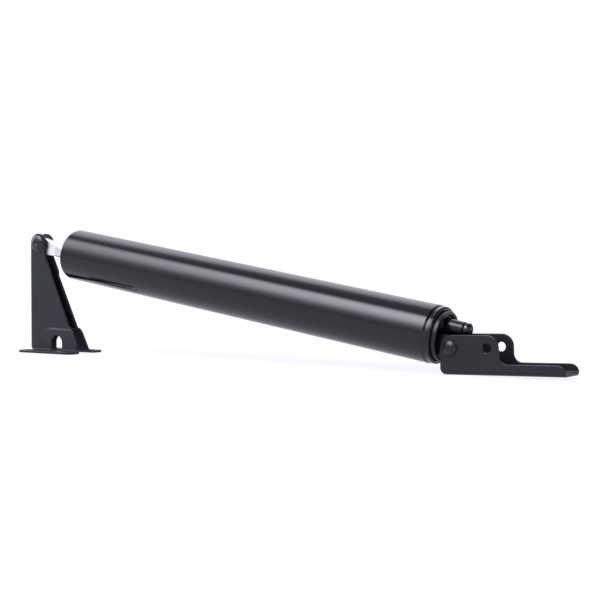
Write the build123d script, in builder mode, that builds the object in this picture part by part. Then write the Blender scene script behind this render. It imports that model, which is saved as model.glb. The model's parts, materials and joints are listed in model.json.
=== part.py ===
# Pneumatic door closer with a jamb bracket and a hold-open lever, standing as on a table.
# Millimetres. The origin is the middle of the bracket's mounting face, +Z away from that face
# and +X along the closer. The tube slopes down from the bracket's pin to the lever.
import os
from math import asin, atan2, cos, degrees, hypot, radians, sin

from build123d import *

# Clearances
RUNNING_FIT = 0.05          # radial, a pin or shaft in its hole
SLIDING_FIT = 0.1           # radial, a plug or seal in the tube
SIDE_GAP = 0.15             # a tongue between two plates, each side

# Tube
TUBE_DIAMETER = 31.75
TUBE_WALL = 1.25
TUBE_LENGTH = 266.7
FRONT_ROLL = 2.0            # radius of the rolled front edge
REAR_ROLL = 2.2             # radius of the rolled rear edge
FRONT_LIP_RADIUS = 9.0      # opening left in the front end

# Places along the closer, closed
PIN_TO_TUBE = 30.85         # jamb pin to the tube's front end
PIN_ABOVE_AXIS = 2.1
REAR_TO_RIVET = 9.9         # tube's rear end to the lever's rivet
RIVET_BELOW_AXIS = 4.05
STROKE = 165.0

# Jamb bracket
PIN_HEIGHT = 70.4           # jamb pin above the mounting face
PIN_INSET = 7.8             # jamb pin from the bracket's back face
BASE_LENGTH = 46.3
BASE_WIDTH = 32.0
BASE_CORNER = 4.0
BRACKET_SHEET = 1.5
EAR_WIDTH = 8.2             # over both ears
EAR_RADIUS = 6.5
EAR_WAIST = (5.0, 5.8)      # front edge below the ear, near and far plate, from the pin
WAIST_BELOW_PIN = 8.5
FOOT_WIDTH = 12.7           # over both side plates at the foot's front end
FOOT_HEIGHT = 15.2
FOOT_LEDGE = 2.2            # height of the step where the plates spread
SPREAD_START = 5.0          # where the spread begins, from the pin
NECK_REACH = (10.4, 11.3)   # front edge at the neck, near and far plate, from the pin
NECK_BELOW_PIN = 18.3
NECK_NOTCH = 2.6
EDGE_REACH = (27.0, 28.8)   # front edge where it meets the foot, near and far plate
LEDGE_REACH = (32.4, 29.9)  # front edge below the step, near and far plate
TOE_REACH = (35.8, 35.4)    # front edge at the flange, near and far plate
WEB_BELOW_PIN = 8.9
WEB_BOTTOM = 3.2
PLATE_BEND = 2.4
FLANGE_BEND = 0.8           # radius in the corner above the flange
UNDER_BEND = 1.4            # radius of the bend on the mounting face
ARCH_RADIUS = 5.0
ARCH_HEIGHT = 6.0           # centre of the arched cut-out
ARCH_REACH = (16.8, 13.6)   # arch centres from the pin, near and far plate
SCREW_HOLE = 4.6            # diameter
SCREW_SPACING = (33.0, 22.4)

# Jamb pin and its ring
PIN_RADIUS = 2.4
PIN_HEAD_RADIUS = 5.75
PIN_HEAD_HEIGHT = 2.0
PIN_TAIL = 2.6              # length beyond the far ear
RING_THICKNESS = 0.8
RING_RADIUS = 4.6
RING_GROOVE = 0.5

# Piston rod
ROD_RADIUS = 3.97
TANG_THICKNESS = 4.0
TANG_ABOVE = 6.2            # top edge above the rod's axis
TANG_BELOW = 4.9
TANG_END = 6.0              # from the pin to the tang's round end
TANG_ROUND = 5.2            # corner radius of the tang's end
TANG_TAPER = 15.0           # from the pin to where the tang is as slim as the rod
THREAD_RADIUS = 3.0

# Front end of the tube
BUSHING_LENGTH = 18.0
BUSHING_NOSE = 3.2
BUSHING_NOSE_WALL = 1.4
FELT_LENGTH = 4.0
FELT_WALL = 2.5
FRONT_WASHER = 1.5
STOP_WALL = 4.5             # sleeve that stops the piston

# Spring
SPRING_WIRE = 1.6
SPRING_RADIUS = 11.2        # to the middle of the wire
SPRING_TURNS = 22

# Piston
PISTON_LENGTH = 12.0
SEAT_THICKNESS = 1.6
SEAT_RADIUS = 13.4
CUP_LENGTH = 7.0
CUP_WALL = 1.6
BACK_WASHER = 1.6
BACK_WASHER_RADIUS = 8.0
NUT_HEIGHT = 5.0
NUT_ACROSS_FLATS = 10.0
ROD_END = 2.0               # thread left beyond the nut
CLOSED_GAP = 0.3            # rod's end to the end plug

# End plug, valve boss and tongue
PLUG_LENGTH = 12.0          # inside the tube
RIM_HEIGHT = 2.6            # rim beyond the tube's end
RIM_RADIUS = 13.5
RIM_WALL = 1.5
DISH_DEPTH = 2.9            # recess inside the rim
SEAL_SECTION = 1.2          # radius of the plug's O-ring
BOSS_RADIUS = 3.9
BOSS_ABOVE_AXIS = 5.9
BOSS_LENGTH = 12.3          # beyond the tube's end
BOSS_COLLAR = 5.2
BOSS_COLLAR_HEIGHT = 1.1
TONGUE_RADIUS = 6.2
VALVE_BORE = 2.5
VALVE_BORE_DEPTH = 17.0
ORIFICE = 0.6               # radius, from the pressure side and out of the boss
VENT_REACH = 4.0            # vent beyond the dish

# Valve screw
SCREW_HEAD_RADIUS = 3.75
SCREW_HEAD_HEIGHT = 3.6
SCREW_HEAD_ROUND = 1.3
SCREW_GAP = 0.5             # head to the boss's end
SCREW_SLOT = (0.9, 1.1)     # width and depth
SCREW_SLOT_TURN = 60        # degrees from level
SCREW_SHANK = 13.5
NEEDLE_LENGTH = 4.4         # its point enters the orifice
VALVE_GROOVE = 0.9
VALVE_SEAL_FROM_HEAD = 3.0

# Hold-open lever
LEVER_WIDTH = 19.1
LEVER_SHEET = 1.6
LEVER_LENGTH = 69.1
LEVER_BACK = 5.9            # rivet to the lever's inner end
LEVER_TOP = 6.8             # rivet to the top edge
LEVER_BOTTOM = 14.0         # rivet to the underside
TAB_TOP = -8.1              # top edge of the foot tab, from the rivet
TAB_START = 27.8            # where the tall part ends, from the rivet
LEVER_CORNERS = (2.0, 1.2, 4.5, 4.7, 6.6, 7.0)
LEVER_BEND = 2.2
DOOR_HOLE_REACH = 21.1
DOOR_HOLE_RADIUS = 2.5
LEVER_TILT = 1.5            # degrees, foot tab up

# Lever rivet
RIVET_RADIUS = 2.8
RIVET_HEAD_RADIUS = 4.1
RIVET_HEAD_HEIGHT = 1.9

os.makedirs("parts", exist_ok=True)


def finish(builder, name):
    """Name the finished piece and write it."""
    builder.part.label = name
    export_step(builder.part, f"parts/{name}.step")


# The closer's slope follows from the heights of its two pivots: the lever rests on its lower
# rounded corner, with its foot tab tilted up.
lever_slope = radians(LEVER_TILT)
corner = LEVER_CORNERS[0]
RIVET_HEIGHT = (
    corner + (LEVER_BACK - corner) * sin(lever_slope) + (LEVER_BOTTOM - corner) * cos(lever_slope)
)
REAR = PIN_TO_TUBE + TUBE_LENGTH
RIVET_REACH = REAR + REAR_TO_RIVET
pivot_span = hypot(RIVET_REACH, PIN_ABOVE_AXIS + RIVET_BELOW_AXIS)
pivot_angle = atan2(PIN_ABOVE_AXIS + RIVET_BELOW_AXIS, RIVET_REACH)
SLOPE = asin((PIN_HEIGHT - RIVET_HEIGHT) / pivot_span) - pivot_angle

PIN_X = PIN_INSET - BASE_LENGTH / 2
along_tube = Vector(cos(SLOPE), 0, -sin(SLOPE))
above_tube = Vector(sin(SLOPE), 0, cos(SLOPE))
pin_centre = Vector(PIN_X, 0, PIN_HEIGHT)
axis_origin = pin_centre - above_tube * PIN_ABOVE_AXIS
tube_axis = Axis(axis_origin, along_tube)
# Side view of the closer: x along the tube from the pin, y above its axis
side_view = Plane(origin=axis_origin, x_dir=along_tube, z_dir=(0, -1, 0))
top_view = Plane(origin=axis_origin, x_dir=along_tube, z_dir=above_tube)


def cross_section(reach, above=0.0):
    """Plane across the tube's axis, x towards the far side and y up."""
    origin = axis_origin + along_tube * reach + above_tube * above
    return Plane(origin=origin, x_dir=(0, 1, 0), z_dir=along_tube)


def outline_face(plane, points, radii=()):
    """Closed outline on a plane, each corner rounded to its radius, 0 for sharp."""
    with BuildSketch(plane) as outline:
        with BuildLine():
            Polyline(*points, close=True)
        make_face()
        for point, radius in zip(points, radii):
            if radius:
                fillet(outline.vertices().sort_by_distance(Vector(*point, 0))[0], radius)
    return outline.sketch


def turned(*outline):
    """Turn an outline of (reach along the axis, radius) points about the tube's axis."""
    revolve(outline_face(side_view, outline), axis=tube_axis)


def turned_ring(start, length, inner, outer):
    """Turn a plain ring about the tube's axis."""
    turned((start, inner), (start + length, inner), (start + length, outer), (start, outer))


# Jamb bracket: each side is a plate that spreads at the foot and turns out into a flange
TUBE_RADIUS = TUBE_DIAMETER / 2
BORE_RADIUS = TUBE_RADIUS - TUBE_WALL
back = -BASE_LENGTH / 2
front = BASE_LENGTH / 2
web_top = PIN_HEIGHT - WEB_BELOW_PIN
neck = PIN_HEIGHT - NECK_BELOW_PIN
spread_x = PIN_X + SPREAD_START


def bracket_side(side, waist, neck_reach, edge_reach, ledge_reach, toe_reach, arch_reach):
    """One side of the bracket, side -1 towards the viewer and +1 away."""
    outer = side * EAR_WIDTH / 2
    inner = outer - side * BRACKET_SHEET
    spread = side * FOOT_WIDTH / 2
    spread_inner = spread - side * BRACKET_SHEET
    edge = side * BASE_WIDTH / 2
    toe = PIN_X + toe_reach
    foot_plan = [
        (back, outer), (spread_x, outer), (toe, spread),
        (toe, spread_inner), (spread_x, inner), (back, inner),
    ]
    flange_plan = [
        (back, inner), (spread_x, inner), (toe, spread_inner),
        (front, spread_inner), (front, edge), (back, edge),
    ]
    ledge_plan = [(spread_x, inner), (spread_x, outer), (toe, spread), (toe, inner)]
    with BuildPart() as half:
        for start, height, plan in (
            (0, FOOT_HEIGHT, foot_plan),
            (0, BRACKET_SHEET, flange_plan),
            (FOOT_HEIGHT - FOOT_LEDGE, FOOT_LEDGE, ledge_plan),
        ):
            extrude(outline_face(Plane.XY.offset(start), plan), amount=height)
        with BuildSketch(Plane.XZ.offset(-outer)):
            with Locations((0, FOOT_HEIGHT)):
                Rectangle(BASE_LENGTH, PIN_HEIGHT, align=(Align.CENTER, Align.MIN))
        extrude(amount=side * BRACKET_SHEET)
        # The bend between plate and flange, rounded on both faces
        at_flange = half.edges().filter_by(
            lambda e: abs(e.center().Z - BRACKET_SHEET) < 0.01
            and abs(e.center().Y) < FOOT_WIDTH / 2 + 0.01 and e.length > SPREAD_START * 2
        )
        fillet(at_flange, FLANGE_BEND)
        under_plate = half.edges().filter_by(
            lambda e: abs(e.center().Z) < 0.01
            and abs(e.center().Y) < FOOT_WIDTH / 2 - BRACKET_SHEET / 2 and e.length > SPREAD_START * 2
        )
        fillet(under_plate, UNDER_BEND)
        # Outline of the plate, seen from the side
        with BuildSketch(Plane.XZ):
            with BuildLine():
                Polyline(
                    (back, 0), (front, 0), (front, BRACKET_SHEET), (toe, BRACKET_SHEET),
                    (PIN_X + ledge_reach, FOOT_HEIGHT - FOOT_LEDGE), (PIN_X + edge_reach, FOOT_HEIGHT),
                    (PIN_X + neck_reach, neck - NECK_NOTCH), (PIN_X + neck_reach, neck),
                    (PIN_X + waist, PIN_HEIGHT - WAIST_BELOW_PIN),
                    (PIN_X + waist, PIN_HEIGHT), (PIN_X - EAR_RADIUS, PIN_HEIGHT),
                    (PIN_X - EAR_RADIUS, web_top), (back, web_top), close=True,
                )
            make_face()
            with Locations((PIN_X, PIN_HEIGHT)):
                Circle(EAR_RADIUS)
                Circle(PIN_RADIUS + RUNNING_FIT, mode=Mode.SUBTRACT)
        extrude(amount=BASE_WIDTH, both=True, mode=Mode.INTERSECT)
        # Arched cut-out
        with BuildSketch(Plane.XZ.offset(-side * FOOT_WIDTH)):
            with Locations((PIN_X + arch_reach, ARCH_HEIGHT)):
                Circle(ARCH_RADIUS)
            with Locations((PIN_X + arch_reach, ARCH_HEIGHT)):
                Rectangle(2 * ARCH_RADIUS, ARCH_HEIGHT - BRACKET_SHEET, align=(Align.CENTER, Align.MAX))
        extrude(amount=side * FOOT_WIDTH, mode=Mode.SUBTRACT)
    return half.part


shapes = list(zip(EAR_WAIST, NECK_REACH, EDGE_REACH, LEDGE_REACH, TOE_REACH, ARCH_REACH))
near_side = bracket_side(-1, *shapes[0])
far_side = bracket_side(1, *shapes[1])

with BuildPart() as jamb_bracket:
    add(near_side)
    add(far_side)
    # The web and its two bends replace the plates' back edges
    for inset, bend, mode in (
        (0, 0, Mode.SUBTRACT),
        (0, PLATE_BEND, Mode.ADD),
        (BRACKET_SHEET, PLATE_BEND - BRACKET_SHEET, Mode.SUBTRACT),
    ):
        half_web = EAR_WIDTH / 2 - inset
        web_plan = [
            (back + 2 * PLATE_BEND, -half_web), (back + inset, -half_web),
            (back + inset, half_web), (back + 2 * PLATE_BEND, half_web),
        ]
        web = outline_face(Plane.XY.offset(WEB_BOTTOM), web_plan, (0, bend, bend, 0))
        extrude(web, amount=web_top - WEB_BOTTOM, mode=mode)
    flange_corners = jamb_bracket.edges().filter_by(Axis.Z).filter_by(
        lambda e: abs(abs(e.center().Y) - BASE_WIDTH / 2) < 0.01
    )
    fillet(flange_corners, BASE_CORNER)
    with BuildSketch(Plane.XY):
        with GridLocations(*SCREW_SPACING, 2, 2):
            Circle(SCREW_HOLE / 2)
    extrude(amount=BRACKET_SHEET, mode=Mode.SUBTRACT)
finish(jamb_bracket, "jamb_bracket")


# Jamb pin: domed head on the near side, a grooved tail for its ring on the far side
def across(y, height=0.0):
    """Plane across the jamb pin at a given y, looking from the far side to the viewer."""
    return Plane(origin=(PIN_X, y, height), x_dir=(1, 0, 0), z_dir=(0, -1, 0))


EAR_FACE = EAR_WIDTH / 2
ring_y = EAR_FACE + SIDE_GAP
with BuildPart() as jamb_pin:
    with BuildSketch(across(EAR_FACE + PIN_TAIL, PIN_HEIGHT)):
        Circle(PIN_RADIUS)
    extrude(amount=EAR_WIDTH + PIN_TAIL)
    with BuildSketch(across(-EAR_FACE, PIN_HEIGHT)):
        Circle(PIN_HEAD_RADIUS)
    extrude(amount=PIN_HEAD_HEIGHT)
    rim = jamb_pin.edges().filter_by(GeomType.CIRCLE).group_by(Axis.Y)[0]
    fillet(rim, PIN_HEAD_HEIGHT * 0.8)
    with BuildSketch(across(ring_y + RING_THICKNESS + 2 * RUNNING_FIT, PIN_HEIGHT)):
        Circle(PIN_RADIUS + 1)
        Circle(PIN_RADIUS - RING_GROOVE, mode=Mode.SUBTRACT)
    extrude(amount=RING_THICKNESS + 2 * RUNNING_FIT, mode=Mode.SUBTRACT)
    tail = jamb_pin.edges().filter_by(GeomType.CIRCLE).group_by(Axis.Y)[-1]
    chamfer(tail, RING_GROOVE / 2)
finish(jamb_pin, "jamb_pin")

with BuildPart() as jamb_pin_ring:
    with BuildSketch(across(ring_y + RING_THICKNESS + RUNNING_FIT, PIN_HEIGHT)):
        Circle(RING_RADIUS)
        Circle(PIN_RADIUS - RING_GROOVE + RUNNING_FIT, mode=Mode.SUBTRACT)
        Rectangle(PIN_RADIUS, 2 * RING_RADIUS, align=(Align.CENTER, Align.MAX), mode=Mode.SUBTRACT)
    extrude(amount=RING_THICKNESS)
finish(jamb_pin_ring, "jamb_pin_ring")

# Places inside the tube, measured along the axis from the pin
bushing_start = PIN_TO_TUBE + TUBE_WALL
front_washer_start = bushing_start + BUSHING_LENGTH
stop_start = front_washer_start + FRONT_WASHER
plug_inner = REAR - PLUG_LENGTH
rod_tip = plug_inner - CLOSED_GAP
nut_start = rod_tip - ROD_END - NUT_HEIGHT
back_washer_start = nut_start - BACK_WASHER
cup_start = back_washer_start - CUP_WALL
piston_start = cup_start - PISTON_LENGTH
seat_start = piston_start - SEAT_THICKNESS

with BuildPart() as piston_rod:
    with BuildSketch(cross_section(TANG_TAPER - TANG_ABOVE)):
        Circle(ROD_RADIUS)
    extrude(amount=seat_start - TANG_TAPER + TANG_ABOVE)
    # Pressed flats run out into the round rod
    flat = TANG_THICKNESS / 2
    with BuildSketch(top_view):
        with BuildLine():
            Polyline(
                (0, flat), (TANG_TAPER, flat), (TANG_TAPER + ROD_RADIUS, ROD_RADIUS), (REAR, ROD_RADIUS),
                (REAR, -ROD_RADIUS), (TANG_TAPER + ROD_RADIUS, -ROD_RADIUS), (TANG_TAPER, -flat),
                (0, -flat), close=True,
            )
        make_face()
    extrude(amount=TUBE_RADIUS, both=True, mode=Mode.INTERSECT)
    # Flattened eye, tapering to the rod
    tang_outline = [
        (-TANG_END, -TANG_BELOW), (TANG_ABOVE / 2, -TANG_BELOW),
        (TANG_TAPER, -ROD_RADIUS), (TANG_TAPER, ROD_RADIUS),
        (TANG_ABOVE / 2, TANG_ABOVE), (-TANG_END, TANG_ABOVE),
    ]
    tang_radii = (TANG_ROUND, TANG_ABOVE, 0, 0, TANG_ABOVE, TANG_ROUND)
    extrude(outline_face(side_view, tang_outline, tang_radii), amount=flat, both=True)
    with BuildSketch(side_view):
        with Locations((0, PIN_ABOVE_AXIS)):
            Circle(PIN_RADIUS + RUNNING_FIT)
    extrude(amount=TANG_THICKNESS, both=True, mode=Mode.SUBTRACT)
    with BuildSketch(cross_section(seat_start)):
        Circle(THREAD_RADIUS)
    extrude(amount=rod_tip - seat_start)
    chamfer(piston_rod.edges().filter_by(GeomType.CIRCLE).sort_by(tube_axis)[-1], THREAD_RADIUS / 6)
finish(piston_rod, "piston_rod")

# Front guide: nylon bushing with a felt ring, and a washer behind it
rod_hole = ROD_RADIUS + RUNNING_FIT
nose_radius = rod_hole + BUSHING_NOSE_WALL
felt_radius = rod_hole + FELT_WALL
body_radius = BORE_RADIUS - SLIDING_FIT
felt_start = bushing_start + (BUSHING_LENGTH - FELT_LENGTH) / 2
with BuildPart() as rod_bushing:
    turned(
        (PIN_TO_TUBE - BUSHING_NOSE, rod_hole), (PIN_TO_TUBE - BUSHING_NOSE, nose_radius - 0.8),
        (PIN_TO_TUBE - BUSHING_NOSE + 0.8, nose_radius), (PIN_TO_TUBE, nose_radius + 1),
        (PIN_TO_TUBE, FRONT_LIP_RADIUS - SLIDING_FIT), (bushing_start, FRONT_LIP_RADIUS - SLIDING_FIT),
        (bushing_start, BORE_RADIUS - FRONT_ROLL), (bushing_start + FRONT_ROLL, body_radius),
        (bushing_start + BUSHING_LENGTH, body_radius), (bushing_start + BUSHING_LENGTH, rod_hole),
        (felt_start + FELT_LENGTH, rod_hole), (felt_start + FELT_LENGTH, felt_radius),
        (felt_start, felt_radius), (felt_start, rod_hole),
    )
finish(rod_bushing, "rod_bushing")

with BuildPart() as felt_wiper:
    turned_ring(
        felt_start + RUNNING_FIT, FELT_LENGTH - 2 * RUNNING_FIT, rod_hole, felt_radius - RUNNING_FIT
    )
finish(felt_wiper, "felt_wiper")

with BuildPart() as front_washer:
    turned_ring(front_washer_start, FRONT_WASHER, rod_hole, body_radius)
finish(front_washer, "front_washer")

# The sleeve stops the piston at full stroke, before the spring's turns close up
with BuildPart() as stop_sleeve:
    turned_ring(stop_start, seat_start - STROKE - stop_start, rod_hole, rod_hole + STOP_WALL)
    ends = stop_sleeve.edges().filter_by(GeomType.CIRCLE).filter_by(lambda e: e.radius > rod_hole * 1.1)
    chamfer(ends, STOP_WALL / 4)
finish(stop_sleeve, "stop_sleeve")

# Main spring, one unbroken wire from the front washer to the piston's seat
coil_start = stop_start + SPRING_WIRE / 2
coil_length = seat_start - SPRING_WIRE / 2 - coil_start
with BuildPart() as main_spring:
    with BuildLine():
        coil = Helix(
            pitch=coil_length / SPRING_TURNS, height=coil_length, radius=SPRING_RADIUS,
            center=tuple(axis_origin + along_tube * coil_start), direction=tuple(along_tube),
        )
    with BuildSketch(Plane(origin=coil @ 0, z_dir=coil % 0)):
        Circle(SPRING_WIRE / 2)
    sweep()
finish(main_spring, "main_spring")
print("spring: least gap between turns", round(coil_length / SPRING_TURNS - SPRING_WIRE, 2))

# Piston, clamped between the spring's seat and the nut
thread_hole = THREAD_RADIUS + RUNNING_FIT
with BuildPart() as spring_seat:
    turned_ring(seat_start, SEAT_THICKNESS, thread_hole, SEAT_RADIUS)
finish(spring_seat, "spring_seat")

with BuildPart() as piston:
    turned_ring(piston_start, PISTON_LENGTH, thread_hole, body_radius)
    lip_start = cup_start - CUP_LENGTH + CUP_WALL
    turned_room = (cup_start, body_radius + 1)
    with BuildSketch(side_view):
        with BuildLine():
            Polyline(
                (lip_start - SLIDING_FIT, body_radius + 1), turned_room,
                (cup_start, body_radius - CUP_WALL - SLIDING_FIT),
                (lip_start - SLIDING_FIT, body_radius - CUP_WALL - SLIDING_FIT), close=True,
            )
        make_face()
    revolve(axis=tube_axis, mode=Mode.SUBTRACT)
finish(piston, "piston")

# Cup seal: a disc behind the piston with a lip forward along the bore
with BuildPart() as piston_cup_seal:
    cup_end = cup_start + CUP_WALL
    turned(
        (cup_start, thread_hole), (cup_end, thread_hole), (cup_end, body_radius), (lip_start, body_radius),
        (lip_start, body_radius - CUP_WALL), (cup_start, body_radius - CUP_WALL),
    )
finish(piston_cup_seal, "piston_cup_seal")

with BuildPart() as piston_back_washer:
    turned_ring(back_washer_start, BACK_WASHER, thread_hole, BACK_WASHER_RADIUS)
finish(piston_back_washer, "piston_back_washer")

with BuildPart() as piston_nut:
    with BuildSketch(cross_section(nut_start)):
        RegularPolygon(NUT_ACROSS_FLATS / 2, 6, major_radius=False)
        Circle(thread_hole, mode=Mode.SUBTRACT)
    extrude(amount=NUT_HEIGHT)
finish(piston_nut, "piston_nut")

# Tube, rolled in at both ends
with BuildPart() as cylinder_tube:
    with BuildSketch(side_view):
        with BuildLine():
            start, end, wall = PIN_TO_TUBE, REAR, TUBE_WALL
            Polyline(
                (start, TUBE_RADIUS - FRONT_ROLL), (start, FRONT_LIP_RADIUS),
                (start + wall, FRONT_LIP_RADIUS), (start + wall, TUBE_RADIUS - FRONT_ROLL),
            )
            RadiusArc(
                (start + wall, TUBE_RADIUS - FRONT_ROLL), (start + FRONT_ROLL, BORE_RADIUS),
                FRONT_ROLL - wall,
            )
            Line((start + FRONT_ROLL, BORE_RADIUS), (end - REAR_ROLL, BORE_RADIUS))
            RadiusArc(
                (end - REAR_ROLL, BORE_RADIUS), (end - wall, TUBE_RADIUS - REAR_ROLL), REAR_ROLL - wall
            )
            Line((end - wall, TUBE_RADIUS - REAR_ROLL), (end, TUBE_RADIUS - REAR_ROLL))
            RadiusArc((end, TUBE_RADIUS - REAR_ROLL), (end - REAR_ROLL, TUBE_RADIUS), -REAR_ROLL)
            Line((end - REAR_ROLL, TUBE_RADIUS), (start + FRONT_ROLL, TUBE_RADIUS))
            RadiusArc((start + FRONT_ROLL, TUBE_RADIUS), (start, TUBE_RADIUS - FRONT_ROLL), -FRONT_ROLL)
        make_face()
    revolve(axis=tube_axis)
finish(cylinder_tube, "cylinder_tube")

# End plug: body and rim turned in one, with the valve's boss and the lever's tongue cast on
groove = PLUG_LENGTH / 2 + SEAL_SECTION
shoulder = REAR - REAR_ROLL
rim_end = REAR + RIM_HEIGHT
dish = rim_end - DISH_DEPTH
boss_end = REAR + BOSS_LENGTH
INNER_WIDTH = LEVER_WIDTH - 2 * LEVER_SHEET
TONGUE_WIDTH = INNER_WIDTH - 2 * SIDE_GAP
valve_seal_reach = boss_end + SCREW_GAP - VALVE_SEAL_FROM_HEAD
with BuildPart() as end_plug:
    turned(
        (plug_inner, 0), (plug_inner, body_radius),
        (plug_inner + groove - 2 * SEAL_SECTION, body_radius),
        (plug_inner + groove - 2 * SEAL_SECTION, body_radius - 2 * SEAL_SECTION + SLIDING_FIT),
        (plug_inner + groove, body_radius - 2 * SEAL_SECTION + SLIDING_FIT),
        (plug_inner + groove, body_radius), (shoulder - TUBE_WALL, body_radius),
        (shoulder, RIM_RADIUS), (rim_end, RIM_RADIUS), (rim_end, RIM_RADIUS - RIM_WALL),
        (dish, RIM_RADIUS - RIM_WALL), (dish, 0),
    )
    rim_edges = end_plug.edges().filter_by(GeomType.CIRCLE).filter_by(
        lambda e: (e.arc_center - axis_origin).dot(along_tube) > rim_end - 0.01
    )
    fillet(rim_edges, RIM_WALL / 2 - SLIDING_FIT)
    with BuildSketch(cross_section(dish, BOSS_ABOVE_AXIS)):
        Circle(BOSS_RADIUS)
    extrude(amount=boss_end - dish)
    with BuildSketch(cross_section(dish, BOSS_ABOVE_AXIS)):
        Circle(BOSS_COLLAR)
    extrude(amount=BOSS_COLLAR_HEIGHT)
    with BuildSketch(side_view):
        with Locations((RIVET_REACH, -RIVET_BELOW_AXIS)):
            Circle(TONGUE_RADIUS)
            Rectangle(
                RIVET_REACH - dish, 2 * TONGUE_RADIUS, align=(Align.MAX, Align.CENTER)
            )
    extrude(amount=TONGUE_WIDTH / 2, both=True)
    with BuildSketch(side_view):
        with Locations((RIVET_REACH, -RIVET_BELOW_AXIS)):
            Circle(RIVET_RADIUS + RUNNING_FIT)
    extrude(amount=TONGUE_WIDTH, both=True, mode=Mode.SUBTRACT)
    # Valve bore from the boss's end, then the fine orifice to the pressure side
    with BuildSketch(cross_section(boss_end, BOSS_ABOVE_AXIS)):
        Circle(VALVE_BORE)
    extrude(amount=-VALVE_BORE_DEPTH, mode=Mode.SUBTRACT)
    with BuildSketch(cross_section(plug_inner, BOSS_ABOVE_AXIS)):
        Circle(ORIFICE)
    extrude(amount=boss_end - plug_inner, mode=Mode.SUBTRACT)
    # The air leaves by a vent in the boss's far side
    vent = axis_origin + along_tube * (dish + VENT_REACH) + above_tube * BOSS_ABOVE_AXIS
    with BuildSketch(Plane(origin=vent, z_dir=(0, 1, 0))):
        Circle(ORIFICE)
    extrude(amount=2 * BOSS_RADIUS, mode=Mode.SUBTRACT)
finish(end_plug, "end_plug")

with BuildPart() as end_plug_seal:
    seal_reach = plug_inner + groove - SEAL_SECTION
    with BuildSketch(side_view):
        with Locations((seal_reach, body_radius + SLIDING_FIT - SEAL_SECTION)):
            Circle(SEAL_SECTION - SLIDING_FIT / 2)
    revolve(axis=tube_axis)
finish(end_plug_seal, "end_plug_seal")

# Valve screw: slotted round head, shank with a seal groove and a needle point
head_start = boss_end + SCREW_GAP
head_end = head_start + SCREW_HEAD_HEIGHT
shank = VALVE_BORE - RUNNING_FIT
boss_axis = Axis(cross_section(0, BOSS_ABOVE_AXIS).origin, along_tube)
shank_end = head_start - SCREW_SHANK
groove_half = VALVE_GROOVE / 2 + RUNNING_FIT
valve_view = Plane(origin=boss_axis.position, x_dir=along_tube, z_dir=(0, -1, 0))
with BuildPart() as valve_screw:
    with BuildSketch(valve_view):
        with BuildLine():
            Polyline(
                (shank_end - NEEDLE_LENGTH, 0), (shank_end, shank * 0.6), (shank_end, shank),
                (valve_seal_reach - groove_half, shank),
                (valve_seal_reach - groove_half, shank - VALVE_GROOVE),
                (valve_seal_reach + groove_half, shank - VALVE_GROOVE),
                (valve_seal_reach + groove_half, shank),
                (head_start, shank), (head_start, SCREW_HEAD_RADIUS), (head_end, SCREW_HEAD_RADIUS),
                (head_end, 0), close=True,
            )
        make_face()
    revolve(axis=boss_axis)
    crown = valve_screw.edges().filter_by(GeomType.CIRCLE).sort_by(boss_axis)[-1]
    fillet(crown, SCREW_HEAD_ROUND)
    with BuildSketch(cross_section(head_end, BOSS_ABOVE_AXIS)):
        Rectangle(3 * SCREW_HEAD_RADIUS, SCREW_SLOT[0], rotation=SCREW_SLOT_TURN)
    extrude(amount=-SCREW_SLOT[1], mode=Mode.SUBTRACT)
finish(valve_screw, "valve_screw")

with BuildPart() as valve_seal:
    with BuildSketch(valve_view):
        with Locations((valve_seal_reach, VALVE_BORE - VALVE_GROOVE / 2 - RUNNING_FIT)):
            Circle(VALVE_GROOVE / 2 - RUNNING_FIT / 2)
    revolve(axis=boss_axis)
finish(valve_seal, "valve_seal")

# Hold-open lever: a U channel with its web underneath, tall at the rivet, low at the foot tab
rivet_centre = axis_origin + along_tube * RIVET_REACH - above_tube * RIVET_BELOW_AXIS
lever_forward = Vector(cos(lever_slope), 0, sin(lever_slope))
lever_view = Plane(origin=rivet_centre, x_dir=lever_forward, z_dir=(0, -1, 0))
lever_front = LEVER_LENGTH - LEVER_BACK

channel = Plane(
    origin=rivet_centre - lever_forward * LEVER_BACK * 2, x_dir=(0, 1, 0), z_dir=lever_forward
)
with BuildPart() as hold_open_lever:
    for sheet, mode in ((0, Mode.ADD), (LEVER_SHEET, Mode.SUBTRACT)):
        half_channel = LEVER_WIDTH / 2 - sheet
        floor = sheet - LEVER_BOTTOM
        bend = LEVER_BEND - sheet
        section = [
            (-half_channel, floor), (half_channel, floor), (half_channel, 2 * LEVER_TOP),
            (-half_channel, 2 * LEVER_TOP),
        ]
        section_face = outline_face(channel, section, (bend, bend, 0, 0))
        extrude(section_face, amount=LEVER_LENGTH + 2 * LEVER_BACK, mode=mode)
    lever_outline = [
        (-LEVER_BACK, -LEVER_BOTTOM), (lever_front, -LEVER_BOTTOM), (lever_front, TAB_TOP),
        (TAB_START, TAB_TOP), (TAB_START, LEVER_TOP), (-LEVER_BACK, LEVER_TOP),
    ]
    lever_side = outline_face(lever_view, lever_outline, LEVER_CORNERS)
    extrude(lever_side, amount=LEVER_WIDTH, both=True, mode=Mode.INTERSECT)
    with BuildSketch(lever_view):
        Circle(RIVET_RADIUS + RUNNING_FIT)
        with Locations((DOOR_HOLE_REACH, 0)):
            Circle(DOOR_HOLE_RADIUS)
    extrude(amount=LEVER_WIDTH, both=True, mode=Mode.SUBTRACT)
finish(hold_open_lever, "hold_open_lever")

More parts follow.
